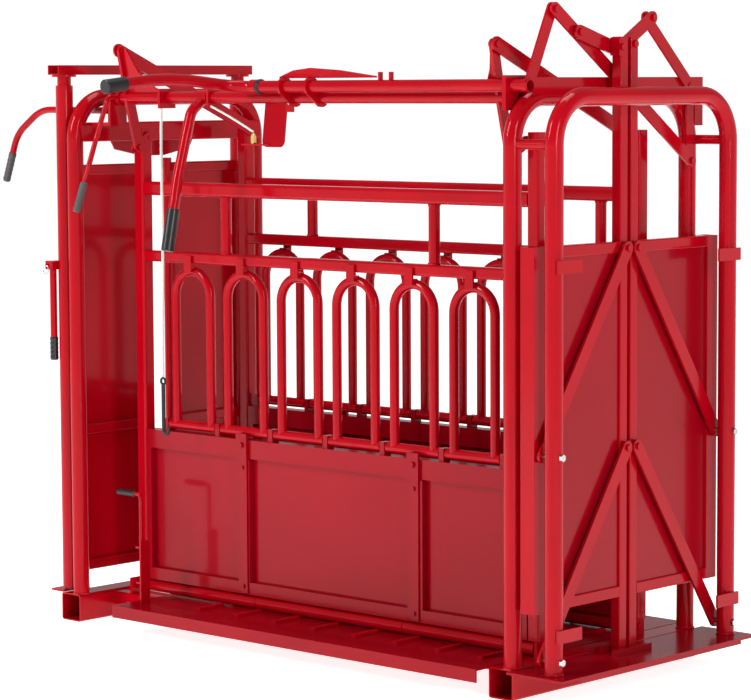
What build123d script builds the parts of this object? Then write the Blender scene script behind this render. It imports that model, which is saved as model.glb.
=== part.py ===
from build123d import *
import os
from math import atan2, cos, degrees, hypot, radians, sin

# Cattle squeeze chute. Millimetres. +X points to the tailgate (rear), -Y is the
# operator's (near) side, +Z is up. Dimensions are laid out from the middle of the base;
# the saved parts have their origin under the middle of the rear cross tube, on the ground.

# ---- driving dimensions ----
TUBE = 101.6                    # square base cross tube, side
DECK = TUBE                     # height of the deck and of the rear plate
ARCH_OD = 60.3
ARCH_WALL = 3.9
ARCH_BEND = 150.0               # centreline radius of an arch's corners
ARCH_Y = 461.0                  # arch post centres, each side
ARCH_Z = 1931.0                 # centre height of an arch's top bar
FRONT_X = -1145.0               # front arch
INNER_X = 939.0                 # rear inner arch
OUTER_X = 1109.0                # rear outer arch
HEAD_X = -1219.0                # head gate pivot posts
HEAD_Y = 445.0
FRONT_TUBE_X = -1170.0
REAR_TUBE_X = 914.0
TUBE_HALF = 491.0               # half length of a cross tube
FLOOR_X0 = -872.0
FLOOR_HALF = 556.0
PLATE_X1 = 1195.0
PLATE_HALF = 524.0
CLEAT_X0 = -568.0
CLEAT_PITCH = 190.0
CLEAT_SPANS = ((-416.0, -296.0), (-234.0, 234.0), (296.0, 416.0))      # clear of the wall hinges
SHEET = 3.0
BAR = 10.0                      # thickness of flat link bars
PIN_R = 8.0                     # pivot pins and bolts
RUN = 0.06                      # radial clearance of a running fit

# squeeze walls
WALL_Y = 265.0
WALL_Z0 = 128.0                 # height of the wall hinge
WALL_TOP = 1817.0
WALL_FRONT = -994.0
WALL_REAR = 880.0
POST = 50.0
TOP_RAIL_Z = 1599.0
MID_RAIL_Z = 1352.0
MID_RAIL = 40.0
PANEL_Z0 = 156.0
PANEL_Z1 = 713.0
BARREL_R = 24.0
HINGE_ROD_R = 16.0

# drop bars
DROP_COUNT = 6
DROP_X0 = -735.0                # centre of the first drop bar
DROP_PITCH = 269.0
DROP_R = 90.0                   # half the distance between a drop bar's legs
DROP_OD = 33.4
DROP_FOOT = 35.0
DROP_FOOT_LEN = 240.0
DROP_HINGE_Z = 740.0
DROP_SHOULDER_Z = 1212.0        # where a drop bar's legs meet its round top
FAR_LIFT = 40.0                 # the far wall's middle rail, drop bars and panel sit higher
FAR_SHIFT = -66.0               # and its drop bars sit further forward
SHORT_OD = 48.3                 # round posts between a wall's upper rails
NEAR_SHORT_X = (-561.0, 434.0)
FAR_SHORT_X = (-643.0, 722.0)
BAY_X = (-459.0, 363.0)         # posts between a panel's three bays

# tailgate
GATE_X0 = 1011.0
GATE_TUBE = 38.0
UPRIGHT_Y = 27.0
UPRIGHT_TOP = 2123.0
GATE_Z0 = 289.0
GATE_Z1 = 1460.0
GATE_OUT_Y0 = 430.0
GATE_OUT_Y1 = 487.0
LINK_X0 = 1058.0
LINK_W = 46.0
POST_PIVOT_Z = (145.0, 799.0)
GATE_PIVOT_Z = (784.0, 1438.0)

# tailgate top linkage, as (Y, Z) of each pivot
T1 = (-425.0, 1967.0)           # handle shaft
ROCKER_TIP = (-310.0, 2209.0)
CRANK = (422.0, 1963.0)         # bell crank pivot on the rear beam
CRANK_TOP = (178.0, 2188.0)
CRANK_LOW = (417.0, 1712.0)
NEAR_TIE = (-40.0, 2090.0)
FAR_TIE = (27.0, 2100.0)
TIE_ON_BAR = 128.0              # distance of the near tie's pivot from the rocker tip
CROSS_X0 = 985.0
TIE_X0 = 999.0
CRANK_X0 = 973.0

# squeeze shaft, as (Y, Z) of each pivot
T2 = (-375.0, 1930.0)
ARM_TOP = (-410.0, 2100.0)
ARM_LOW = (-330.0, 1750.0)
NEAR_WALL_PIN = (-265.0, 1785.0)
FAR_WALL_PIN = (265.0, 1805.0)
SHAFT_R = 21.1
ARM_T = 12.0
FRONT_ARM_X0 = -951.0
REAR_ARM_X0 = 812.0
LEVER_X = -552.0
HANDLE_PATH = [(-236, T1[0], T1[1]), (-345, T1[0], T1[1]), (-345, -740, 2000), (-345, -1026, 1970)]

# small parts
HEAD_LEVER = (-1070.0, -325.0, 1882.0)  # pivot of the head gate lever
NECK_X = HEAD_X - 39.0                  # the handle that hangs beside the near pivot tube
NECK_Y = -HEAD_Y - 33.0
LATCH_X = -986.0
ROPE_R = 5.0
ROPE_ROUTE = [(-740, -408, 1891.5), (-741, -409, 1780), (-739, -411, 1610), (-740, -408, 1430),
              (-737, -412, 1260), (-740, -414, 1100), (-742, -412, 930)]
LINE_R = 4.0
LINE_ROUTE = [(-501.3, -392, 1900), (-430, -393, 1873), (-360, -391.5, 1843), (-292, -392, 1812)]


# ---- helpers ----
def box(x0, x1, y0, y1, z0, z1):
    """A plain block between two corners."""
    return Pos((x0 + x1) / 2, (y0 + y1) / 2, (z0 + z1) / 2) * Box(x1 - x0, y1 - y0, z1 - z0)


def rod(axis, r, a0, a1, b, c):
    """A round bar along X, Y or Z from a0 to a1; b and c are its other two coordinates."""
    turn = {"X": Rot(0, 90, 0), "Y": Rot(-90, 0, 0), "Z": Rot(0, 0, 0)}[axis]
    mid = (a0 + a1) / 2
    place = {"X": (mid, b, c), "Y": (b, mid, c), "Z": (b, c, mid)}[axis]
    return Pos(*place) * turn * Cylinder(r, a1 - a0)


def pipe(axis, r, wall, a0, a1, b, c):
    """A round tube along an axis."""
    return rod(axis, r, a0, a1, b, c) - rod(axis, r - wall, a0 - 1, a1 + 1, b, c)


def square_tube(axis, side, wall, a0, a1, b, c, radius=6.0):
    """A square tube with rounded edges along an axis."""
    outer = RectangleRounded(side, side, radius)
    inner = RectangleRounded(side - 2 * wall, side - 2 * wall, max(radius - wall, 0.8))
    turn = {"X": Rot(0, 90, 0), "Y": Rot(-90, 0, 0), "Z": Rot(0, 0, 0)}[axis]
    place = {"X": (a0, b, c), "Y": (b, a0, c), "Z": (b, c, a0)}[axis]
    return Pos(*place) * turn * extrude(outer - inner, a1 - a0)


def flat_bar(x0, thick, p, q, width, ends=0.0):
    """A flat bar with round ends lying across the chute from p to q, each (Y, Z)."""
    span = hypot(q[0] - p[0], q[1] - p[1]) + 2 * ends
    tilt = degrees(atan2(q[1] - p[1], q[0] - p[0]))
    slab = extrude(SlotCenterToCenter(span, width), thick)
    # the slab's length is turned to +Y and its thickness to +X before it is tilted about X
    slab = Rot(0, 90, 0) * Rot(0, 0, 90) * slab
    centre = ((p[0] + q[0]) / 2, (p[1] + q[1]) / 2)
    return Pos(x0, *centre) * Rot(tilt, 0, 0) * slab


def bore_x(solid, p, r):
    """The solid with a hole along X through it at p, a (Y, Z) point."""
    return solid - rod("X", r, -2000, 2000, p[0], p[1])


def hex_head(x0, thick, p, across=24.0):
    """A hexagon bolt head or nut whose axis lies along X."""
    return Pos(x0, p[0], p[1]) * Rot(0, 90, 0) * extrude(RegularPolygon(across / 2, 6), thick)


def bent_tube(points, radii, r, wall=0.0):
    """A tube, or a solid rod when wall is 0, along straight runs joined by arcs."""
    path = FilletPolyline(*points, radius=radii)
    start = Plane(origin=path @ 0, z_dir=path % 0)
    solid = sweep(start * Circle(r), path=path)
    if wall:
        solid = solid - sweep(start * Circle(r - wall), path=path)
    return solid


def mirror_y(solid):
    return mirror(solid, about=Plane.XZ)


def save(name, *solids):
    """Write one node about the rear cross tube; several solids stay separate pieces of it."""
    moved = [Pos(-REAR_TUBE_X, 0, 0) * solid for solid in solids]
    shape = moved[0] if len(moved) == 1 else Compound(children=moved)
    export_step(shape, f"parts/{name}.step")


def both_sides(solid):
    return [solid, mirror_y(solid)]


# ---- base ----
def base_tubes():
    """Two open square cross tubes and the two runners that join them."""
    pieces = []
    for x in (FRONT_TUBE_X, REAR_TUBE_X):
        pieces.append(square_tube("Y", TUBE, 5.0, -TUBE_HALF, TUBE_HALF, x, TUBE / 2, 10.0))
    run0 = FRONT_TUBE_X + TUBE / 2
    run1 = REAR_TUBE_X - TUBE / 2
    runner = square_tube("X", 50.0, 4.0, run0, run1, -300, DECK - 6 - 25)
    return pieces + both_sides(runner)


def floor_pan():
    """The deck sheet with a turned-down flange along each side."""
    x1 = REAR_TUBE_X - TUBE / 2
    pan = box(FLOOR_X0, x1, -FLOOR_HALF, FLOOR_HALF, DECK - 6, DECK)
    flange = box(FLOOR_X0, x1, -FLOOR_HALF, -FLOOR_HALF + 6, DECK - 44, DECK - 6)
    return [pan] + both_sides(flange)


def tread_cleats():
    """Raised bars across the deck, for footing."""
    bars = []
    for i in range(8):
        x = CLEAT_X0 + i * CLEAT_PITCH
        for y0, y1 in CLEAT_SPANS:
            bar = box(x - 10, x + 10, y0, y1, DECK, DECK + 10)
            bars.append(fillet(bar.edges().filter_by(Axis.Y).group_by(Axis.Z)[-1], 4))
    return bars


def rear_deck_plate():
    """The plate that the outer arch stands on, with two bars that guide the gate's feet."""
    tube_face = REAR_TUBE_X + TUBE / 2
    plate = box(tube_face, PLATE_X1, -PLATE_HALF, PLATE_HALF, DECK - 8, DECK)
    lip = box(PLATE_X1 - 6, PLATE_X1, -PLATE_HALF + 90, PLATE_HALF - 90, DECK - 20, DECK - 8)
    guide_rear = box(1055, 1075, -95, 95, DECK, DECK + 20)
    guide_front = box(984, 1004, -95, 95, DECK, DECK + 20)
    return [plate, lip, guide_rear, guide_front]


# ---- arches ----
def arch(x, wall=ARCH_WALL):
    """A tube bent to an upside-down U, standing on the base."""
    feet = [(x, -ARCH_Y, DECK), (x, -ARCH_Y, ARCH_Z), (x, ARCH_Y, ARCH_Z), (x, ARCH_Y, DECK)]
    return bent_tube(feet, ARCH_BEND, ARCH_OD / 2, wall)


def gate_post_bolt(y, z):
    """A long bolt through an outer arch post, carrying one tailgate link."""
    rear = OUTER_X + ARCH_OD / 2
    shank = rod("X", PIN_R, LINK_X0 - 7, rear + 9, y, z)
    return shank + hex_head(rear + 0.2, 9, (y, z)) + hex_head(LINK_X0 - 7, 6.5, (y, z))


def outer_arch():
    """The rear arch, drilled for the link bolts, with four keeper tabs on its posts."""
    hoop = arch(OUTER_X)
    for z in POST_PIVOT_Z:
        for y in (-ARCH_Y, ARCH_Y):
            hoop -= rod("X", PIN_R, LINK_X0, PLATE_X1, y, z)
    tabs = []
    rear = OUTER_X + ARCH_OD / 2
    for z in (229.0, 1400.0):
        tabs += both_sides(box(rear, rear + 8, -ARCH_Y - 24, -ARCH_Y + 96, z - 21, z + 21))
    return [hoop] + tabs


def inner_arch():
    """The inner rear arch and the short tubes that tie it to the outer one."""
    front = INNER_X + ARCH_OD / 2
    rear = OUTER_X - ARCH_OD / 2
    spacer = rod("X", 16, front - 12, rear + 12, -ARCH_Y, 1782)
    for x in (INNER_X, OUTER_X):
        spacer -= arch(x, 0.0)
    return [arch(INNER_X)] + both_sides(spacer)


def cross_beams():
    """The beam under the front arch's top, and the rear beam on the inner arch."""
    half = ARCH_Y - 2
    front = square_tube("Y", 70.0, 4.0, -half, half, FRONT_X, 1805)
    front -= arch(FRONT_X, 0.0)
    rear = box(959, 969, -396, 507, 1936, 1993) + box(959, 969, 462, 507, 1829, 1960)
    rear = bore_x(rear, CRANK, PIN_R)
    rear -= rod("Y", ARCH_OD / 2, -600, 600, INNER_X, ARCH_Z)
    rear -= arch(INNER_X, 0.0)
    pivot = rod("X", PIN_R, 955, 984.5, *CRANK) + hex_head(952, 7, CRANK) + hex_head(981.5, 3, CRANK)
    rim = HEAD_X - 9
    shelf = box(rim, FRONT_X - 35, -215, 215, 1770, 1776)
    outline = [(-215, 1776), (215, 1776), (190, 1736), (60, 1710), (-60, 1710), (-190, 1736)]
    face = make_face(Polyline(*[(rim, y, z) for y, z in outline], close=True))
    yoke = extrude(face, 6, dir=(-1, 0, 0))
    return [front, rear, pivot, shelf, yoke]


def shaft_brackets():
    """Bearing plates that carry the handle shaft and the squeeze shaft."""
    hole = SHAFT_R + RUN
    rear = box(893, INNER_X - ARCH_OD / 2, -458, -330, 1888, 2000)
    front = box(-1014, -1002, -415, -335, 1828, 1966)
    shelf = box(FRONT_X + 35, -1014, -415, -290, 1828, 1840)
    plates = [rear, front]
    for x in (-105.0, 20.0):
        plates.append(flat_bar(x - 5, 10, T2, T1, 66))
    top = T1[1] + 33
    profile = [(-125, top), (-60, top + 22), (20, top + 30), (150, top + 22), (320, top + 1), (320, top - 5),
               (-125, top - 5)]
    hump = extrude(make_face(Polyline(*[(x, T1[0] - 5, z) for x, z in profile], close=True)), 10, dir=(0, 1, 0))
    hump -= rod("X", SHAFT_R + 4, -300, 400, *T1)
    out = [shelf, hump]
    for plate in plates:
        plate = bore_x(plate, T2, hole)
        out.append(bore_x(plate, T1, hole))
    for x, y in ((ROPE_ROUTE[0][0], ROPE_ROUTE[0][1]), (LINE_ROUTE[0][0] - 6.7, LINE_ROUTE[0][1])):
        eye = box(x - 5, x + 5, y - 12, -342, 1892, 1962)
        out.append(bore_x(eye, T2, hole))
    return out


def wall_hinge_rods():
    """The rods the squeeze walls turn on, held by lugs on the deck."""
    rear = REAR_TUBE_X - TUBE / 2
    pieces = []
    rod_solid = rod("X", HINGE_ROD_R, WALL_FRONT - 44, WALL_REAR + 20, -WALL_Y, WALL_Z0)
    lug = box(WALL_FRONT - 40, WALL_FRONT - 26, -WALL_Y - 55, -WALL_Y + 22, DECK - 6, WALL_Z0 + 26)
    lug_rear = box(WALL_REAR + 4, WALL_REAR + 16, -WALL_Y - 22, -WALL_Y + 22, DECK, WALL_Z0 + 26)
    lug = bore_x(lug, (-WALL_Y, WALL_Z0), HINGE_ROD_R)
    lug_rear = bore_x(lug_rear, (-WALL_Y, WALL_Z0), HINGE_ROD_R)
    for piece in (rod_solid, lug, lug_rear):
        pieces += both_sides(piece)
    return pieces


# ---- head gate ----
def headgate_posts():
    """Round pivot posts on foot plates that are welded to the front cross tube."""
    foot = box(HEAD_X - 62, FRONT_TUBE_X - 45, -HEAD_Y - 44, -HEAD_Y + 40, DECK, DECK + 8)
    foot -= rod("Z", ARCH_OD / 2, 90, 130, FRONT_X, -ARCH_Y)
    post = rod("Z", 25.4, DECK + 8, 2006, HEAD_X, -HEAD_Y)
    cap = Pos(HEAD_X, -HEAD_Y, 2010) * Cylinder(45, 8)
    return both_sides(foot) + both_sides(post + cap)


def headgate_channel():
    """The open channel across the pivot posts, carrying the gate's spring rods."""
    length = 2 * (HEAD_Y + 52)
    web = box(HEAD_X - 30, HEAD_X + 30, -length / 2, length / 2, 2014, 2018)
    rear_leg = box(HEAD_X + 26, HEAD_X + 30, -length / 2, length / 2, 2014, 2049)
    front_leg = box(HEAD_X - 30, HEAD_X - 26, -length / 2, length / 2, 2014, 2049)
    return web + rear_leg + front_leg


def headgate_leaf():
    """One sheeted leaf on its pivot tube, with the round neck bar at its inner edge."""
    pivot = pipe("Z", 31.8, 31.8 - 25.4 - RUN, DECK + 14, 1975, HEAD_X, -HEAD_Y)
    inner = -66.0
    leaf = box(HEAD_X - 1.5, HEAD_X + 1.5, -HEAD_Y + 30, inner, 172, 1670)
    for z in (190.0, 700.0, 1664.0):
        leaf += square_tube("Y", 38, 3, -HEAD_Y + 30, inner, HEAD_X, z)
    leaf += pipe("Z", 16.7, 3, 150, 1700, HEAD_X, inner)
    leaf -= rod("Z", 30, 0, 2200, HEAD_X, -HEAD_Y)
    return pivot + leaf


def headgate_lever():
    """The bent head gate lever with its pivot hub."""
    x, y, z = HEAD_LEVER
    path = [HEAD_LEVER, (x - 420, y, z + 3), (x - 560, y, z - 90), (x - 628, y, z - 268)]
    lever = bent_tube(path, (180, 150), 12.5, 2.5)
    hub = rod("Y", 18, y - 15, y + 15, x, z)
    hub -= rod("Y", PIN_R + RUN, y - 30, y + 30, x, z)
    lever -= rod("Y", 17.9, y - 30, y + 30, x, z)
    return hub + lever


def headgate_lever_pin():
    """The pin and fork that hold the head gate lever on the front beam."""
    x, y, z = HEAD_LEVER
    pin = rod("Y", PIN_R, y - 26, y + 26, x, z)
    fork = box(x - 18, x + 18, y - 25, y + 25, 1840, z + 18)
    fork -= box(x - 19, x + 19, y - 17, y + 17, 1848, z + 19)
    fork -= rod("Y", PIN_R, y - 30, y + 30, x, z)
    return [pin, fork]


# ---- squeeze walls ----
def wall_frame(lift, short_x):
    """End posts, rails and short posts of one squeeze wall."""
    y = -WALL_Y
    x0 = WALL_FRONT + POST / 2
    x1 = WALL_REAR - POST / 2
    mid = MID_RAIL_Z + lift
    parts = [square_tube("Z", POST, 4, PANEL_Z0, WALL_TOP, x, y, 9) for x in (WALL_FRONT, WALL_REAR)]
    parts.append(square_tube("X", POST, 4, x0, x1, y, TOP_RAIL_Z, 12))
    parts.append(square_tube("X", MID_RAIL, 3, x0, x1, y, mid, 8))
    for x in short_x:
        parts.append(pipe("Z", SHORT_OD / 2 - 4.5, 3, mid + MID_RAIL / 2, TOP_RAIL_Z - POST / 2, x, y))
    return parts


def wall_pins(point):
    """The pins on a wall's end posts that carry the squeeze links."""
    return [rod("X", PIN_R, WALL_FRONT + POST / 2, FRONT_ARM_X0 - 1, *point),
            rod("X", PIN_R, REAR_ARM_X0 + ARM_T + 1, WALL_REAR - POST / 2, *point)]


def wall_barrels():
    """Hinge barrels along the foot of a wall, in three lengths."""
    barrels = []
    ends = (WALL_FRONT - 20, -410.0, 300.0, WALL_REAR)
    for a, b in zip(ends, ends[1:]):
        wall = BARREL_R - HINGE_ROD_R - RUN
        barrel = pipe("X", BARREL_R, wall, a + 1.5, b - 1.5, -WALL_Y, WALL_Z0)
        barrels.append(barrel)
    return barrels


def drop_bar_pins(lift, shift):
    """The long rod under the drop bars and the lugs that carry it."""
    y = -WALL_Y
    z = DROP_HINGE_Z + lift
    gap = DROP_PITCH - DROP_FOOT_LEN
    start = DROP_X0 + shift - DROP_PITCH / 2
    pieces = [rod("X", PIN_R, start - 6, start + DROP_COUNT * DROP_PITCH + 6, y, z)]
    for i in range(DROP_COUNT + 1):
        x = start + i * DROP_PITCH
        lug = box(x - gap / 2 + 4, x + gap / 2 - 4, y - 17, y + 17, PANEL_Z1 + lift, z + 18)
        pieces.append(bore_x(lug, (y, z), PIN_R))
    return pieces


def box_rail(x0, x1, z0, z1):
    """A hollow rectangular rail along a panel, as deep as the wall."""
    y0 = -WALL_Y - POST / 2
    y1 = -WALL_Y + POST / 2
    return box(x0, x1, y0, y1, z0, z1) - box(x0 - 1, x1 + 1, y0 + 5, y1 - 5, z0 + 5, z1 - 5)


def wall_panel(lift, shift):
    """The lower sheeted panel: rails and posts round three recessed bays, with straps."""
    y0 = -WALL_Y - POST / 2
    y1 = -WALL_Y + POST / 2
    x0 = WALL_FRONT + POST / 2
    x1 = WALL_REAR - POST / 2
    top = PANEL_Z1 + lift
    parts = [box_rail(x0, x1, top - 67, top), box_rail(x0, x1, PANEL_Z0, PANEL_Z0 + 44)]
    bay_z0 = PANEL_Z0 + 44
    bay_z1 = top - 67
    bays = [x + shift for x in BAY_X]
    posts = [(x0, x0 + 26), (bays[0] - 30, bays[0] + 28), (bays[1] - 34, bays[1] + 34), (x1 - 26, x1)]
    for a, b in posts:
        parts.append(box(a, b, y0, y1, bay_z0, bay_z1) - box(a + 4, b - 4, y0 + 4, y1 - 4, bay_z0 - 1, bay_z1 + 1))
    for (_, a), (b, _) in zip(posts, posts[1:]):
        parts.append(box(a, b, y0 + 22, y0 + 22 + SHEET, bay_z0, bay_z1))
    for x in bays:
        strap = box(x - 21, x + 21, y0 - 6, y0, PANEL_Z0 + 4, top - 72)
        tab = box(x - 26, x + 26, y0 - 12, y0, top - 72, top + 22)
        for z in (PANEL_Z0 + 30, top - 100):
            strap += rod("Y", 8, y0 - 12, y0 - 5, x, z)
        tab += rod("Y", 11, y0 - 20, y0 - 11, x, top - 18)
        parts += [strap, tab]
    return parts


def drop_bar(i, lift, shift):
    """One drop bar: a tube bent to an upside-down U on a round foot, with a top tab."""
    x = DROP_X0 + shift + i * DROP_PITCH
    y = -WALL_Y
    hinge = DROP_HINGE_Z + lift
    top = DROP_SHOULDER_Z + lift + DROP_R
    legs = [(x - DROP_R, y, hinge), (x - DROP_R, y, top), (x + DROP_R, y, top), (x + DROP_R, y, hinge)]
    loop = bent_tube(legs, DROP_R - 0.5, DROP_OD / 2, 2.6)
    loop -= rod("X", DROP_FOOT / 2 - 1, x - 200, x + 200, y, hinge)
    foot = rod("X", DROP_FOOT / 2, x - DROP_FOOT_LEN / 2, x + DROP_FOOT_LEN / 2, y, hinge)
    foot = bore_x(foot, (y, hinge), PIN_R + RUN)
    tab = box(x - 18, x + 18, y - 29, y - 22, top, MID_RAIL_Z + lift + 8)
    tab += box(x - 18, x + 18, y - 29, y, top + 8, top + DROP_OD / 2 + 3)
    return loop + foot + tab


# ---- squeeze shaft ----
def squeeze_arm(x0, gusset_run):
    """One end arm of the squeeze shaft, up to the far link and down to the near one."""
    arm = flat_bar(x0, ARM_T, T2, ARM_TOP, 36) + flat_bar(x0, ARM_T, T2, ARM_LOW, 40)
    arm = bore_x(arm, T2, SHAFT_R)
    head_x = x0 + ARM_T - 0.1 if gusset_run > 0 else x0 - 8
    for point in (ARM_TOP, ARM_LOW):
        arm += hex_head(head_x, 8.1, point)
    mid = x0 + ARM_T / 2
    lean = (ARM_TOP[0] - T2[0]) / (ARM_TOP[1] - T2[1])
    crest = ARM_TOP[1] + 14
    profile = [(0, 0), (0, crest - T2[1]), (0.15 * gusset_run, crest - T2[1] - 10),
               (0.4 * gusset_run, 92), (0.72 * gusset_run, 42), (gusset_run, 20), (gusset_run, 0)]
    points = [(mid + x, T2[0] + lean * z, T2[1] + z) for x, z in profile]
    gusset = extrude(make_face(Polyline(*points, close=True)), 4, both=True)
    gusset -= rod("X", SHAFT_R, -2000, 2000, *T2)
    return arm + gusset


def squeeze_shaft():
    """The squeeze shaft with an arm welded near each end."""
    tube = pipe("X", SHAFT_R, 3.5, -1020, 905, *T2)
    return [tube, squeeze_arm(FRONT_ARM_X0, 185.0), squeeze_arm(REAR_ARM_X0, -70.0)]


def squeeze_lever():
    """The long operating lever that hangs from the squeeze shaft."""
    points = [(LEVER_X, -380, 1926), (LEVER_X, -440, 1880), (LEVER_X, -505, 1660), (LEVER_X, -560, 1400)]
    lever = bent_tube(points, (60, 500), 19, 3)
    saddle = rod("X", SHAFT_R + 5, LEVER_X - 30, LEVER_X + 30, *T2)
    lever = lever - saddle
    saddle -= rod("X", SHAFT_R, LEVER_X - 40, LEVER_X + 40, *T2)
    return lever + saddle


def grip(p, q, r_in, r_out, length):
    """A moulded hand grip on the end of a lever that runs from p to q, with a closed end."""
    axis = Vector(*q) - Vector(*p)
    start = Vector(*q) - axis.normalized() * length
    place = Plane(origin=start, z_dir=axis)
    body = place * (Pos(0, 0, (length + 5) / 2) * Cylinder(r_out, length + 5))
    body = fillet(body.edges(), 4)
    hole = place * (Pos(0, 0, (length - 2) / 2) * Cylinder(r_in, length + 2))
    return body - hole


def squeeze_links(pin, arm_end, width):
    """The two links, front and rear, from a wall's post tops to the squeeze arms."""
    links = []
    for x0, side in ((FRONT_ARM_X0 - 12, -1), (REAR_ARM_X0 + ARM_T + 3, 1)):
        link = flat_bar(x0, 8, pin, arm_end, width)
        link = bore_x(link, pin, PIN_R + RUN)
        link += hex_head(x0 - 5.9, 6, arm_end) if side < 0 else hex_head(x0 + 7.9, 6, arm_end)
        links.append(link)
    return links


# ---- tailgate ----
def gate_frame():
    """The tubes of the near tailgate half, and its pivot pins."""
    x1 = GATE_X0 + GATE_TUBE
    mid = GATE_X0 + GATE_TUBE / 2
    inner = -UPRIGHT_Y - GATE_TUBE / 2
    upright = square_tube("Z", GATE_TUBE, 3, DECK + 2, UPRIGHT_TOP, mid, -UPRIGHT_Y, 4)
    rails = [square_tube("Y", GATE_TUBE, 3, -GATE_OUT_Y0, inner, mid, z, 4) for z in (GATE_Z0 + 19, GATE_Z1 - 19)]
    outer = box(GATE_X0 - 18, x1, -GATE_OUT_Y1, -GATE_OUT_Y0, GATE_Z0, GATE_Z1)
    outer -= box(GATE_X0 - 14, x1 - 4, -GATE_OUT_Y1 + 4, -GATE_OUT_Y0 - 4, GATE_Z0 - 1, GATE_Z1 + 1)
    pins = []
    for z in GATE_PIVOT_Z:
        upright -= rod("X", PIN_R, 990, 1090, -UPRIGHT_Y, z)
        pin = rod("X", PIN_R, GATE_X0 - 4, LINK_X0 + BAR + 7, -UPRIGHT_Y, z)
        pins.append(pin + hex_head(LINK_X0 + BAR + 0.5, 7, (-UPRIGHT_Y, z)))
    return upright, rails + [outer] + pins


def tie_pin(point):
    """The bolt that holds a top tie against the front of a tailgate upright."""
    x1 = GATE_X0 + GATE_TUBE
    shank = rod("X", PIN_R, TIE_X0 - 4.5, x1 + 8, *point)
    return shank + hex_head(x1, 8, point) + hex_head(TIE_X0 - 4.5, 4, point, 22)


def near_gate_frame():
    """The near half, with the plate that spaces its top tie."""
    upright, others = gate_frame()
    upright -= rod("X", PIN_R, 990, 1090, *NEAR_TIE)
    wrap = box(GATE_X0, GATE_X0 + GATE_TUBE, -UPRIGHT_Y - 27, -UPRIGHT_Y - 19, 2062, UPRIGHT_TOP - 2)
    return [upright, wrap, tie_pin(NEAR_TIE)] + others


def far_gate_frame():
    """The far half, a mirror of the near one but for its top tie."""
    upright, others = gate_frame()
    upright = mirror_y(upright) - rod("X", PIN_R, 990, 1090, *FAR_TIE)
    return [upright, tie_pin(FAR_TIE)] + [mirror_y(piece) for piece in others]


def gate_sheet():
    """The sheet that fills one tailgate half."""
    mid = GATE_X0 + GATE_TUBE / 2
    return box(mid + 8, mid + 8 + SHEET, -GATE_OUT_Y0, -UPRIGHT_Y - GATE_TUBE / 2,
               GATE_Z0 + GATE_TUBE, GATE_Z1 - GATE_TUBE)


def gate_link(post_z, gate_z):
    """A diagonal link from an outer arch post to a tailgate half."""
    link = flat_bar(LINK_X0, BAR, (-ARCH_Y, post_z), (-UPRIGHT_Y, gate_z), LINK_W)
    link = bore_x(link, (-ARCH_Y, post_z), PIN_R + RUN)
    return bore_x(link, (-UPRIGHT_Y, gate_z), PIN_R + 0.4)


def on_cross_bar(distance):
    """The point on the cross bar at a distance from the rocker tip."""
    dy = CRANK_LOW[0] - ROCKER_TIP[0]
    dz = CRANK_LOW[1] - ROCKER_TIP[1]
    part = distance / hypot(dy, dz)
    return (ROCKER_TIP[0] + part * dy, ROCKER_TIP[1] + part * dz)


def near_gate_tie():
    """The tie from the near upright to the cross bar."""
    end = on_cross_bar(TIE_ON_BAR)
    bar = flat_bar(TIE_X0, BAR, NEAR_TIE, end, 46)
    bar = bore_x(bar, NEAR_TIE, PIN_R + RUN)
    return bar + hex_head(TIE_X0 + BAR - 0.1, 8, end)


def far_gate_tie():
    """The tie from the far upright to the bell crank."""
    bar = flat_bar(TIE_X0, BAR, FAR_TIE, CRANK_TOP, 42)
    bar = bore_x(bar, FAR_TIE, PIN_R + RUN)
    return bar + hex_head(TIE_X0 + BAR - 0.1, 8, CRANK_TOP)


def far_bell_crank():
    """The two-armed crank that turns on the rear beam and drives the far half."""
    crank = flat_bar(CRANK_X0, 8, CRANK, CRANK_TOP, 42) + flat_bar(CRANK_X0, 8, CRANK, CRANK_LOW, 38)
    crank = bore_x(crank, CRANK, PIN_R + RUN)
    crank += rod("X", 14, CRANK_X0 + 7, TIE_X0 - 1, *CRANK_TOP)
    crank += rod("X", PIN_R, CRANK_X0 + 7, CROSS_X0 + 16, *CRANK_LOW)
    crank += hex_head(CROSS_X0 + 9, 7, CRANK_LOW)
    return crank


def gate_cross_bar():
    """The long bar from the bell crank's lower arm to the handle shaft's rocker."""
    bar = flat_bar(CROSS_X0, 8, ROCKER_TIP, CRANK_LOW, 44)
    bar = bore_x(bar, CRANK_LOW, PIN_R + RUN)
    bar += hex_head(CROSS_X0 - 7, 7.1, on_cross_bar(TIE_ON_BAR))
    return bar + hex_head(CROSS_X0 + 7.9, 8, ROCKER_TIP)


def tailgate_shaft():
    """The handle shaft with its welded rocker arm at the rear."""
    tube = pipe("X", SHAFT_R, 3.5, -228, 983, *T1)
    arm = flat_bar(CRANK_X0 - 2, 8, T1, ROCKER_TIP, 44)
    arm = bore_x(arm, T1, SHAFT_R)
    arm += rod("X", 14, CRANK_X0 + 5.9, CROSS_X0 - 1, *ROCKER_TIP)
    arm += hex_head(CRANK_X0 - 10, 8.1, ROCKER_TIP)
    lugs = []
    for x in (340.0, 388.0):
        lug = box(x - 4, x + 4, T1[0] - 8, T1[0] + 8, T1[1] + SHAFT_R - 1, T1[1] + SHAFT_R + 26)
        lugs.append(lug - rod("X", SHAFT_R, x - 10, x + 10, *T1))
    return [tube, arm] + lugs


def tailgate_handle():
    """The bent handle that runs out to the side from the shaft's front end."""
    tube = bent_tube(HANDLE_PATH, (90, 1500), 20.5, 3.2)
    sleeve = pipe("X", SHAFT_R + 4, 3.9, -262, -229, *T1)
    return [tube, sleeve - rod("X", 20.5, -300, -200, *T1)]


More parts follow.
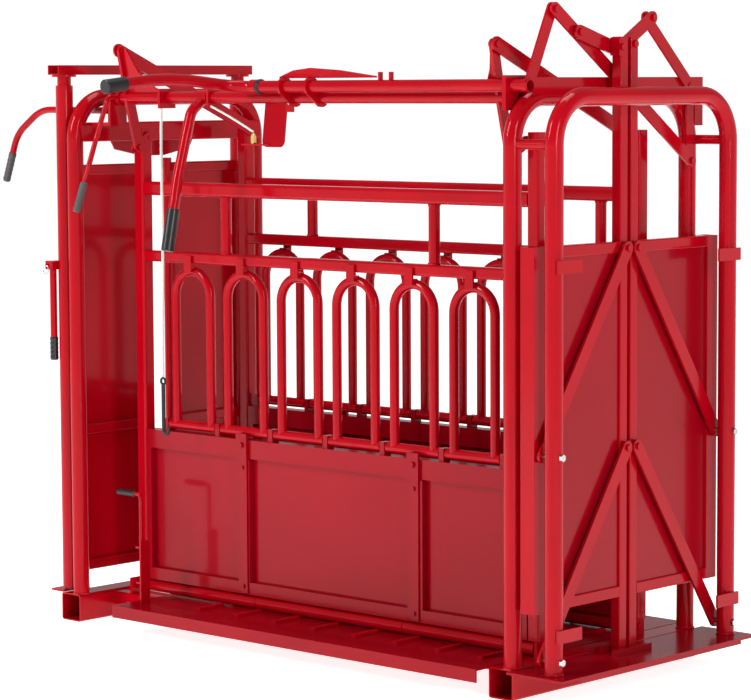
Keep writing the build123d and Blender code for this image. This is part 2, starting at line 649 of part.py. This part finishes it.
# ---- small levers ----
def latch_lever():
    """The small latch lever that hangs beside the squeeze shaft's front bearing."""
    x = LATCH_X
    points = [(x, T2[0], T2[1]), (x, -440, 1934), (x, -505, 1770), (x, -600, 1524)]
    hub = rod("X", SHAFT_R + 7, x - 10, x + 10, *T2)
    lever = bent_tube(points, (24, 300), 9.5) + hub
    return bore_x(lever, T2, SHAFT_R + RUN)


def lock_rod():
    """The floor lock rod with its crosswise handle."""
    points = [(-838, -440, DECK + 10), (-838, -440, 497), (-960, -440, 497)]
    return bent_tube(points, (18,), 8)


def lock_guides():
    """The two guide tabs that the lock rod slides in, on a short upright."""
    upright = box(-826, -818, -462, -418, DECK, 330)
    for z in (170.0, 300.0):
        tab = box(-852, -824, -456, -424, z, z + 8)
        upright += tab - rod("Z", 8 + RUN, z - 5, z + 15, -838, -440)
    return upright


def neck_handle():
    """The handle that hangs from a bracket on the near pivot tube, with its pin."""
    bar = rod("Z", 13, 965, 1300, NECK_X, NECK_Y)
    bracket = box(NECK_X - 20, HEAD_X - 20, NECK_Y - 20, -HEAD_Y, 1300, 1332)
    bracket -= rod("Z", 31.8, 1290, 1400, HEAD_X, -HEAD_Y)
    pin = rod("Y", 5, NECK_Y - 26, NECK_Y - 18, NECK_X - 10, 1316)
    return bar + bracket + pin


# ---- rope ----
def cord(route, r):
    """A round cord of straight runs joined by arcs as large as the runs allow."""
    radii = []
    for a, b, c in zip(route, route[1:], route[2:]):
        u = Vector(*b) - Vector(*a)
        v = Vector(*c) - Vector(*b)
        turn = radians(u.get_angle(v))
        shorter = min(u.length, v.length)
        radii.append(0.45 * shorter * cos(turn / 2) / sin(turn / 2))
    path = FilletPolyline(*[Vector(*p) for p in route], radius=radii)
    start = Plane(origin=path @ 0, z_dir=path % 0)
    tube = sweep(start * Circle(r), path=path)
    print("cord", round(path.length), "mm, radii", [round(x) for x in radii])
    return tube


def rope_hook():
    """The forged hook under the rope's end."""
    x, y, z = ROPE_ROUTE[-1]
    eye = Pos(x, y, z - 16) * Rot(90, 0, 0) * Torus(11, 4.5)
    stem = rod("Z", 7, z - 180, z - 26, x, y)
    bend = bent_tube([(x, y, z - 175), (x, y, z - 205), (x + 26, y, z - 205), (x + 26, y, z - 178)], 12, 6.5)
    return eye + stem + bend


def brass_snap():
    """The brass snap on the end of the short line."""
    x, y, z = LINE_ROUTE[-1]
    body = Pos(x + 2, y, z - 27) * Box(15, 12, 30)
    body = fillet(body.edges().filter_by(Axis.Y), 6)
    ring = Pos(x + 2, y, z - 16) * Rot(90, 0, 0) * Torus(8, 3)
    return body + ring


def latch_flap():
    """The hanging latch plate under the middle bearing, with its lower arm."""
    flap = Box(104, 6, 178)
    flap = fillet(flap.edges().filter_by(Axis.Y), 22)
    flap = Pos(-186, -390, 1848) * Rot(-7, 0, 0) * flap
    flap += box(-336, -200, -408, -384, 1764, 1770)
    flap += box(-134, -99, -392, -384, 1880, 1906)
    return bore_x(flap, T2, SHAFT_R + 2)


def main():
    os.makedirs("parts", exist_ok=True)
    save("base_tubes", *base_tubes())
    save("floor_pan", *floor_pan())
    save("tread_cleats", *tread_cleats())
    save("rear_deck_plate", *rear_deck_plate())
    save("outer_arch", *outer_arch())
    save("inner_arch", *inner_arch())
    save("front_arch", arch(FRONT_X))
    save("cross_beams", *cross_beams())
    save("shaft_brackets", *shaft_brackets(), *headgate_lever_pin(), latch_flap())
    bolts = [gate_post_bolt(y, z) for y in (-ARCH_Y, ARCH_Y) for z in POST_PIVOT_Z]
    save("gate_post_bolts", *bolts)
    save("wall_hinge_rods", *wall_hinge_rods(), lock_guides())
    save("headgate_posts", *headgate_posts())
    save("headgate_channel", headgate_channel())
    leaf = headgate_leaf()
    save("near_headgate_leaf", leaf)
    save("far_headgate_leaf", mirror_y(leaf))
    save("headgate_lever", headgate_lever())
    barrels = wall_barrels()
    save("near_wall_frame", *wall_frame(0, NEAR_SHORT_X), *wall_pins(NEAR_WALL_PIN), *barrels)
    far_frame = [mirror_y(piece) for piece in wall_frame(FAR_LIFT, FAR_SHORT_X) + barrels]
    save("far_wall_frame", *far_frame, *wall_pins(FAR_WALL_PIN))
    save("near_wall_panel", *wall_panel(0, 0), *drop_bar_pins(0, 0))
    far_panel = wall_panel(FAR_LIFT, FAR_SHIFT) + drop_bar_pins(FAR_LIFT, FAR_SHIFT)
    save("far_wall_panel", *[mirror_y(piece) for piece in far_panel])
    for i in range(DROP_COUNT):
        save(f"near_drop_bar_{i + 1}", drop_bar(i, 0, 0))
        save(f"far_drop_bar_{i + 1}", mirror_y(drop_bar(i, FAR_LIFT, FAR_SHIFT)))
    save("near_gate_frame", *near_gate_frame())
    save("far_gate_frame", *far_gate_frame())
    save("near_gate_sheet", gate_sheet())
    save("far_gate_sheet", mirror_y(gate_sheet()))
    for name, post_z, gate_z in zip(("lower", "upper"), POST_PIVOT_Z, GATE_PIVOT_Z):
        link = gate_link(post_z, gate_z)
        save(f"near_{name}_link", link)
        save(f"far_{name}_link", mirror_y(link))
    save("near_gate_tie", near_gate_tie())
    save("far_gate_tie", far_gate_tie())
    save("far_bell_crank", far_bell_crank())
    save("gate_cross_bar", gate_cross_bar())
    save("tailgate_shaft", *tailgate_shaft())
    save("tailgate_handle", *tailgate_handle())
    save("tailgate_grip", grip(HANDLE_PATH[-2], HANDLE_PATH[-1], 20.5, 24, 88))
    save("squeeze_shaft", *squeeze_shaft())
    save("squeeze_lever", squeeze_lever())
    save("squeeze_grip", grip((LEVER_X, -505, 1660), (LEVER_X, -560, 1400), 19, 23, 145))
    save("near_squeeze_links", *squeeze_links(NEAR_WALL_PIN, ARM_LOW, 40))
    save("far_squeeze_links", *squeeze_links(FAR_WALL_PIN, ARM_TOP, 48))
    save("latch_lever", latch_lever())
    save("lock_rod", lock_rod())
    save("neck_handle", neck_handle())
    save("hang_rope", cord(ROPE_ROUTE, ROPE_R))
    save("rope_hook", rope_hook())
    save("pull_line", cord(LINE_ROUTE, LINE_R))
    save("brass_snap", brass_snap())


main()
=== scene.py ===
import math

import bpy
from mathutils import Matrix, Vector


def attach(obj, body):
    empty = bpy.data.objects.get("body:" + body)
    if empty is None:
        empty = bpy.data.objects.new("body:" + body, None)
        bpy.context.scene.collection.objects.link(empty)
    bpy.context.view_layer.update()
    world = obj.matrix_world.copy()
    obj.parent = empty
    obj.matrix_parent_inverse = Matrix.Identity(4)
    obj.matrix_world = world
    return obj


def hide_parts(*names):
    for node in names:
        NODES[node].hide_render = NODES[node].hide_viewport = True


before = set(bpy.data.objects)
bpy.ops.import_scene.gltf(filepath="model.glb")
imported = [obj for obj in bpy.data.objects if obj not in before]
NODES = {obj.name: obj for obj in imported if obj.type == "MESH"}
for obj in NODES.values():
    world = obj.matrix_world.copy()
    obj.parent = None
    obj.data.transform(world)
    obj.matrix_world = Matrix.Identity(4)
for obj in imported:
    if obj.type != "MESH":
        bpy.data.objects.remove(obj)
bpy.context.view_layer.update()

OX = -0.914          # the dimensions below are laid out from the middle of the base

# driving dimensions, metres
ARCHES = (("front", -1.145), ("inner", 0.939), ("outer", 1.109))
ARCH_Y = 0.461
ARCH_R = 0.03015
HEAD_X = -1.219
HEAD_Y = 0.445
WALLS = (("near", -0.265, 0.0, (-0.561, 0.434)), ("far", 0.265, 0.040, (-0.643, 0.722)))
SHORT_R = 0.0197                # round posts between a wall's upper rails
LATCH_X = -0.986
LOCK_Y, LOCK_Z = -0.440, 0.497
HEAD_LEVER = (-1.070, -0.325, 1.882)
NECK = (-1.258, -0.478)
HANDLE_SHAFT = (-0.425, 1.967)
ROPE_D = 0.010
LINE_D = 0.008

FLOOR_HALF = 40

# camera
CAMERA_AT = (6.7967, -7.4330, 1.9692)
CAMERA_LENS = 137.6
CAMERA_TURN, CAMERA_DIP, CAMERA_ROLL = 42.781, 5.264, -0.289


# ---------------------------------------------------------------- camera
def add_camera():
    data = bpy.data.cameras.new("camera")
    data.lens = CAMERA_LENS
    data.sensor_width = 36.0
    data.sensor_fit = "HORIZONTAL"
    cam = bpy.data.objects.new("camera", data)
    bpy.context.scene.collection.objects.link(cam)
    a, e, roll = (math.radians(angle) for angle in (CAMERA_TURN, CAMERA_DIP, CAMERA_ROLL))
    back = Vector((math.sin(a) * math.cos(e), -math.cos(a) * math.cos(e), math.sin(e)))
    right = Vector((math.cos(a), math.sin(a), 0.0))
    up = back.cross(right)
    r2 = right * math.cos(roll) + up * math.sin(roll)
    u2 = up * math.cos(roll) - right * math.sin(roll)
    m = Matrix((r2, u2, back)).transposed().to_4x4()
    m.translation = Vector(CAMERA_AT) + Vector((OX, 0, 0))
    cam.matrix_world = m
    bpy.context.scene.camera = cam


add_camera()


# ---------------------------------------------------------------- materials
def new_material(name):
    mat = bpy.data.materials.new(name)
    mat.use_nodes = True
    tree = mat.node_tree
    return mat, tree, tree.nodes["Principled BSDF"]


def node(tree, kind, **values):
    n = tree.nodes.new(kind)
    for key, value in values.items():
        if key in n.inputs:
            n.inputs[key].default_value = value
        else:
            setattr(n, key, value)
    return n


def ramp(tree, source, low, high, p0=0.3, p1=0.7):
    r = node(tree, "ShaderNodeValToRGB")
    r.color_ramp.elements[0].position = p0
    r.color_ramp.elements[1].position = p1
    r.color_ramp.elements[0].color = (*low, 1)
    r.color_ramp.elements[1].color = (*high, 1)
    tree.links.new(source, r.inputs["Fac"])
    return r.outputs["Color"]


def painted(name, low, high, rough, bump=0.02, scale=3.0, coat=0.2, shine=0.16,
            tint=(1.0, 0.3, 0.3)):
    """Powder coat: a faint drift of colour and a fine orange peel under a clear gloss."""
    mat, t, b = new_material(name)
    coords = node(t, "ShaderNodeTexCoord")
    broad = node(t, "ShaderNodeTexNoise", Scale=scale, Detail=3.0)
    fine = node(t, "ShaderNodeTexNoise", Scale=160.0, Detail=2.0)
    peel = node(t, "ShaderNodeBump", Strength=bump, Distance=0.002)
    t.links.new(coords.outputs["Object"], broad.inputs["Vector"])
    t.links.new(coords.outputs["Object"], fine.inputs["Vector"])
    t.links.new(ramp(t, broad.outputs["Fac"], low, high), b.inputs["Base Color"])
    t.links.new(fine.outputs["Fac"], peel.inputs["Height"])
    t.links.new(peel.outputs["Normal"], b.inputs["Normal"])
    b.inputs["Roughness"].default_value = rough
    b.inputs["Specular IOR Level"].default_value = shine
    b.inputs["Specular Tint"].default_value = (*tint, 1)
    b.inputs["Coat Weight"].default_value = coat
    b.inputs["Coat Roughness"].default_value = 0.08
    return mat


def metal(name, low, high, rough, scale=40.0):
    mat, t, b = new_material(name)
    coords = node(t, "ShaderNodeTexCoord")
    noise = node(t, "ShaderNodeTexNoise", Scale=scale, Detail=4.0)
    bump = node(t, "ShaderNodeBump", Strength=0.08, Distance=0.001)
    t.links.new(coords.outputs["Object"], noise.inputs["Vector"])
    t.links.new(ramp(t, noise.outputs["Fac"], low, high), b.inputs["Base Color"])
    t.links.new(noise.outputs["Fac"], bump.inputs["Height"])
    t.links.new(bump.outputs["Normal"], b.inputs["Normal"])
    b.inputs["Metallic"].default_value = 1.0
    b.inputs["Roughness"].default_value = rough
    return mat


def rubber(name, low, high, rough=0.45):
    mat, t, b = new_material(name)
    coords = node(t, "ShaderNodeTexCoord")
    noise = node(t, "ShaderNodeTexNoise", Scale=220.0, Detail=3.0)
    bump = node(t, "ShaderNodeBump", Strength=0.15, Distance=0.001)
    t.links.new(coords.outputs["Object"], noise.inputs["Vector"])
    t.links.new(ramp(t, noise.outputs["Fac"], low, high), b.inputs["Base Color"])
    t.links.new(noise.outputs["Fac"], bump.inputs["Height"])
    t.links.new(bump.outputs["Normal"], b.inputs["Normal"])
    b.inputs["Roughness"].default_value = rough
    return mat


def braid(name):
    """White braided cord: crossing diagonal strands from two wave patterns."""
    mat, t, b = new_material(name)
    coords = node(t, "ShaderNodeTexCoord")
    one = node(t, "ShaderNodeTexWave", Scale=70.0, Distortion=1.5)
    two = node(t, "ShaderNodeTexWave", Scale=70.0, Distortion=1.5)
    turn1 = node(t, "ShaderNodeMapping")
    turn2 = node(t, "ShaderNodeMapping")
    turn1.inputs["Rotation"].default_value = (0.6, 0.9, 0.3)
    turn2.inputs["Rotation"].default_value = (-0.6, -0.9, -0.3)
    for turn, wave in ((turn1, one), (turn2, two)):
        t.links.new(coords.outputs["Object"], turn.inputs["Vector"])
        t.links.new(turn.outputs["Vector"], wave.inputs["Vector"])
    both = node(t, "ShaderNodeMath", operation="MULTIPLY")
    t.links.new(one.outputs["Fac"], both.inputs[0])
    t.links.new(two.outputs["Fac"], both.inputs[1])
    bump = node(t, "ShaderNodeBump", Strength=0.5, Distance=0.002)
    t.links.new(both.outputs[0], bump.inputs["Height"])
    # The grooves between the strands are painted darker than the strands: painted shade in the braid's
    # recesses.
    colour = ramp(t, both.outputs[0], (0.6, 0.58, 0.54), (0.88, 0.87, 0.84), 0.0, 0.5)
    t.links.new(colour, b.inputs["Base Color"])
    t.links.new(bump.outputs["Normal"], b.inputs["Normal"])
    b.inputs["Roughness"].default_value = 0.85
    return mat


RED = painted("red_paint", (0.36, 0.0004, 0.006), (0.43, 0.0008, 0.008), 0.17)
# Flat sheets get a darker copy of the red paint: painted shade, so that the panels look shaded next to the
# tubes.
RED_SHADED_SHEET = painted("red_sheet_painted_shade", (0.27, 0.0004, 0.006), (0.33, 0.0008, 0.008), 0.24, bump=0.05, scale=1.6)
GRIP = rubber("grip_rubber", (0.006, 0.006, 0.007), (0.014, 0.014, 0.016), 0.3)
GRAY_GRIP = rubber("gray_grip", (0.05, 0.048, 0.052), (0.085, 0.082, 0.088), 0.6)
ZINC = metal("zinc", (0.5, 0.5, 0.5), (0.72, 0.72, 0.71), 0.3)
BRASS = metal("brass", (0.62, 0.42, 0.12), (0.8, 0.6, 0.25), 0.28)
BLACK = painted("black_paint", (0.018, 0.018, 0.02), (0.035, 0.035, 0.038), 0.4, tint=(1.0, 1.0, 1.0))
ROPE = braid("white_rope")

# Sheet parts that take the darker copy of the red paint, which is painted shade.
SHADED_SHEETS = {"near_gate_sheet", "far_gate_sheet", "floor_pan", "rear_deck_plate", "near_wall_panel",
          "far_wall_panel"}
OTHER = {"tailgate_grip": GRIP, "squeeze_grip": GRIP, "rope_hook": BLACK, "brass_snap": BRASS,
         "gate_post_bolts": ZINC, "hang_rope": ROPE, "pull_line": ROPE}
for name, obj in NODES.items():
    obj.data.materials.clear()
    obj.data.materials.append(OTHER.get(name, RED_SHADED_SHEET if name in SHADED_SHEETS else RED))


# ---------------------------------------------------------------- making pieces
def link(obj, mat, body):
    bpy.context.scene.collection.objects.link(obj)
    obj.data.materials.append(mat)
    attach(obj, body)
    return obj


def at(x, y, z):
    return Vector((x + OX, y, z))


def mesh_piece(name, verts, faces, mat, body, smooth=True):
    mesh = bpy.data.meshes.new(name)
    mesh.from_pydata([tuple(v) for v in verts], [], faces)
    mesh.update()
    if smooth:
        for p in mesh.polygons:
            p.use_smooth = True
    return link(bpy.data.objects.new(name, mesh), mat, body)


def frame_about(direction):
    d = direction.normalized()
    side = d.cross(Vector((0, 0, 1)))
    if side.length < 1e-3:
        side = d.cross(Vector((0, 1, 0)))
    side.normalize()
    return side, d.cross(side)


def turned(name, start, end, profile, mat, body, sides=32):
    """A turned shape about the line from start to end. profile holds (share of length, radius)."""
    axis = end - start
    side, up = frame_about(axis)
    verts, faces = [], []
    for share, r in profile:
        for k in range(sides):
            ang = 2 * math.pi * k / sides
            verts.append(start + axis * share + side * (r * math.cos(ang)) + up * (r * math.sin(ang)))
    for i in range(len(profile) - 1):
        for k in range(sides):
            a, b = i * sides + k, i * sides + (k + 1) % sides
            faces.append((a, b, b + sides, a + sides))
    faces.append(tuple(reversed(range(sides))))
    faces.append(tuple(range((len(profile) - 1) * sides, len(profile) * sides)))
    return mesh_piece(name, verts, faces, mat, body)


def grip_profile(r, length, ribs=0):
    """A moulded hand grip: rolled ends, and ribs between them."""
    e = 0.004 / length
    pts = [(0.0, r * 0.9), (e, r * 0.98), (2 * e, r)]
    for i in range(ribs):
        c = 0.12 + 0.76 * (i + 0.5) / ribs
        h = 0.3 / ribs
        pts += [(c - h, r), (c - h * 0.6, r * 0.955), (c + h * 0.6, r * 0.955), (c + h, r)]
    pts += [(1 - 2 * e, r), (1 - e, r * 0.96), (1.0, r * 0.8)]
    return pts


def tube_curve(name, points, radius, mat, body, order=3, cyclic=False):
    data = bpy.data.curves.new(name, "CURVE")
    data.dimensions = "3D"
    data.bevel_depth = radius
    data.bevel_resolution = 6
    data.resolution_u = 12
    data.use_fill_caps = not cyclic
    line = data.splines.new("NURBS")
    line.points.add(len(points) - 1)
    for p, xyz in zip(line.points, points):
        p.co = (*xyz, 1)
    line.order_u = order
    line.use_endpoint_u = not cyclic
    line.use_cyclic_u = cyclic
    return link(bpy.data.objects.new(name, data), mat, body)


# ---------------------------------------------------------------- ropes
ROPE_ROUTE = [(-740, -408, 1891.5), (-741, -409, 1780), (-739, -411, 1610), (-740, -408, 1430),
              (-737, -412, 1260), (-740, -414, 1100), (-742, -412, 930)]
LINE_ROUTE = [(-501.3, -392, 1900), (-430, -393, 1873), (-360, -391.5, 1843), (-292, -392, 1812)]


def metres(route):
    return [at(x / 1000, y / 1000, z / 1000) for x, y, z in route]


rope = tube_curve("rope", metres(ROPE_ROUTE), ROPE_D / 2, ROPE, "base")
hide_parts("hang_rope")
line = tube_curve("short_line", metres(LINE_ROUTE), LINE_D / 2, ROPE, "base")
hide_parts("pull_line")


# ---------------------------------------------------------------- hand grips
def end_grip(name, p, q, length, r, mat, body, ribs=5):
    """A grip over the last part of a lever that ends at q, coming from p."""
    d = (q - p).normalized()
    turned(name, q - d * length, q + d * 0.0005, grip_profile(r, length, ribs), mat, body)


end_grip("latch_grip", at(LATCH_X, -0.505, 1.770), at(LATCH_X, -0.600, 1.524), 0.11, 0.0135, GRAY_GRIP,
         "latch_lever")
hx, hy, hz = HEAD_LEVER
end_grip("headgate_grip", at(hx - 0.560, hy, hz - 0.090), at(hx - 0.628, hy, hz - 0.268), 0.115, 0.0146,
         GRAY_GRIP, "headgate_lever")
end_grip("lock_grip", at(-0.840, LOCK_Y, LOCK_Z), at(-0.960, LOCK_Y, LOCK_Z), 0.095, 0.0115, GRIP, "lock_rod")
nx, ny = NECK
turned("neck_grip", at(nx, ny, 0.9655), at(nx, ny, 1.052), grip_profile(0.0155, 0.0865, 4), GRIP, "near_leaf")


# ---------------------------------------------------------------- welds, bolts, springs
def bead(name, x, y, z, r, body):
    """A weld bead round an upright tube of radius r, with its middle at x, y, z."""
    half = Vector((0, 0, 0.004))
    where = at(x, y, z)
    profile = [(0.0, r * 0.98), (0.15, r + 0.0016), (0.5, r + 0.0026), (0.85, r + 0.0016), (1.0, r * 0.98)]
    turned(name, where - half, where + half, profile, RED, body, sides=40)


def coil(name, start, end, r, wire, turns, mat, body):
    """A helical spring from start to end."""
    axis = end - start
    side, up = frame_about(axis)
    steps = turns * 8
    points = []
    for k in range(steps + 1):
        ang = math.pi * k / 4
        points.append(start + axis * (k / steps) + side * (r * math.cos(ang)) + up * (r * math.sin(ang)))
    tube_curve(name, points, wire, mat, body)


def nut(name, where, r, height, body, mat):
    """A hexagon nut standing on a level face."""
    top = where + Vector((0, 0, height))
    turned(name, where, top, [(0.0, r), (0.8, r), (1.0, r * 0.9)], mat, body, sides=6)


def post_welds():
    """Beads at the feet of the arches and at both ends of the short posts."""
    for tag, x in ARCHES:
        for side, y in (("near", -ARCH_Y), ("far", ARCH_Y)):
            bead(f"{side}_{tag}_weld", x, y, 0.1045, ARCH_R, "base")
    for wall, y, lift, spots in WALLS:
        for k, x in enumerate(spots, 1):
            bead(f"{wall}_short_top_{k}", x, y, 1.5715, SHORT_R, f"{wall}_wall")
            bead(f"{wall}_short_low_{k}", x, y, 1.3745 + lift, SHORT_R, f"{wall}_wall")


def channel_springs():
    """Two spring rods along the head gate channel, and its end nuts."""
    for k, x in enumerate((HEAD_X - 0.009, HEAD_X + 0.009), 1):
        route = [at(x, -0.40, 2.030), at(x, 0.0, 2.032), at(x, 0.40, 2.034)]
        tube_curve(f"spring_rod_{k}", route, 0.0048, ZINC, "base", order=2)
        start, end = at(x, -0.05 + 0.1 * k, 2.0315), at(x, 0.18 + 0.1 * k, 2.033)
        coil(f"return_spring_{k}", start, end, 0.0078, 0.0013, 30, ZINC, "base")
    for side, y in (("near", -HEAD_Y), ("far", HEAD_Y)):
        nut(f"{side}_channel_nut", at(HEAD_X, y * 0.97, 2.018), 0.014, 0.012, "base", ZINC)


def neck_ring():
    """The pull ring on the hanging handle's pin."""
    middle_of_ring = at(nx - 0.010, ny - 0.0275, 1.300)
    r = 0.017
    points = []
    for k in range(8):
        ang = math.pi * k / 4
        points.append(middle_of_ring + Vector((r * math.cos(ang), 0, r * math.sin(ang))))
    tube_curve("neck_ring", points, 0.0018, ZINC, "near_leaf", cyclic=True)


post_welds()
channel_springs()
neck_ring()
turned("handle_bush", at(-0.228, *HANDLE_SHAFT), at(-0.214, *HANDLE_SHAFT),
       [(0.0, 0.0245), (0.2, 0.0265), (0.8, 0.0265), (1.0, 0.0245)], BLACK, "tailgate_handle")


# ---------------------------------------------------------------- floor, light
def stage_plane():
    """A wide white studio floor, lit a little from within so that it stays white."""
    mesh = bpy.data.meshes.new("floor")
    s = FLOOR_HALF
    mesh.from_pydata([(-s, -s, 0), (s, -s, 0), (s, s, 0), (-s, s, 0)], [], [(0, 1, 2, 3)])
    obj = bpy.data.objects.new("floor", mesh)
    bpy.context.scene.collection.objects.link(obj)
    mat, t, b = new_material("floor")
    noise = node(t, "ShaderNodeTexNoise", Scale=2.0)
    t.links.new(ramp(t, noise.outputs["Fac"], (0.96, 0.96, 0.96), (0.97, 0.97, 0.97)), b.inputs["Base Color"])
    b.inputs["Roughness"].default_value = 0.9
    b.inputs["Emission Color"].default_value = (1, 1, 1, 1)
    b.inputs["Emission Strength"].default_value = 0.85
    obj.data.materials.append(mat)
    return obj


def white_horizon(tree):
    """White low down, where the camera looks, and gray above, so that the paint keeps its contrast."""
    background = tree.nodes["Background"]
    direction = node(tree, "ShaderNodeTexCoord")
    split = node(tree, "ShaderNodeSeparateXYZ")
    tree.links.new(direction.outputs["Generated"], split.inputs["Vector"])
    sky = ramp(tree, split.outputs["Z"], (1, 1, 1), (0.28, 0.28, 0.28), 0.035, 0.16)
    tree.links.new(sky, background.inputs["Color"])
    background.inputs["Strength"].default_value = 1.05


def area_light(name, where, target, size, power):
    data = bpy.data.lights.new(name, "AREA")
    data.shape = "RECTANGLE"
    data.size, data.size_y = size
    data.energy = power
    obj = bpy.data.objects.new(name, data)
    bpy.context.scene.collection.objects.link(obj)
    obj.location = where
    obj.rotation_euler = (Vector(target) - Vector(where)).to_track_quat("-Z", "Y").to_euler()
    return obj


floor = stage_plane()
middle = (-1.0, 0, 1.0)           # where every light points
area_light("key", (-4.5, -7.0, 5.5), middle, (1.6, 4), 430)
area_light("fill", (6.5, -3.0, 3.5), middle, (1.6, 4), 210)
area_light("top", (-1.0, 0.5, 7.0), middle, (5, 2), 160)
world = bpy.data.worlds.new("world")
bpy.context.scene.world = world
world.use_nodes = True
white_horizon(world.node_tree)
bpy.context.scene.view_settings.view_transform = "Standard"
